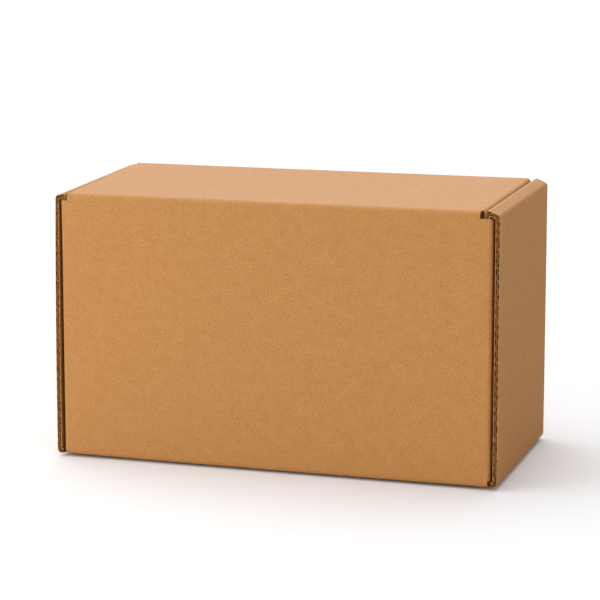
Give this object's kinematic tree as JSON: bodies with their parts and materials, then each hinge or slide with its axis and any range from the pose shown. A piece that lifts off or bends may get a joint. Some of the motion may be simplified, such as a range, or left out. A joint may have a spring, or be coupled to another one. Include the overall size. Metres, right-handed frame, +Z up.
{
  "type": "shipping box",
  "caption": "Closed plain kraft corrugated mailer with roll-over side walls, ears, tuck flap and a lid that swings on its rear crease.",
  "frame": {"origin": "centre of the underside of the base", "axes": "+X along the hinge crease, +Y from the hinge wall towards the front wall that the flap tucks into, +Z up"},
  "size_m": [0.3, 0.14, 0.1786],
  "materials": {
    "kraft_board": "matte unprinted kraft liner, fluted raw edges"
  },
  "bodies": {
    "tray": {"tray": "kraft_board"},
    "lid": {"lid": "kraft_board"}
  },
  "joints": [
    {"name": "lid_hinge", "type": "hinge", "parent": "tray", "child": "lid", "pos_m": [0, -0.06924, 0.17724], "axis": [1, 0, 0], "range_deg": [0, 180]}
  ]
}
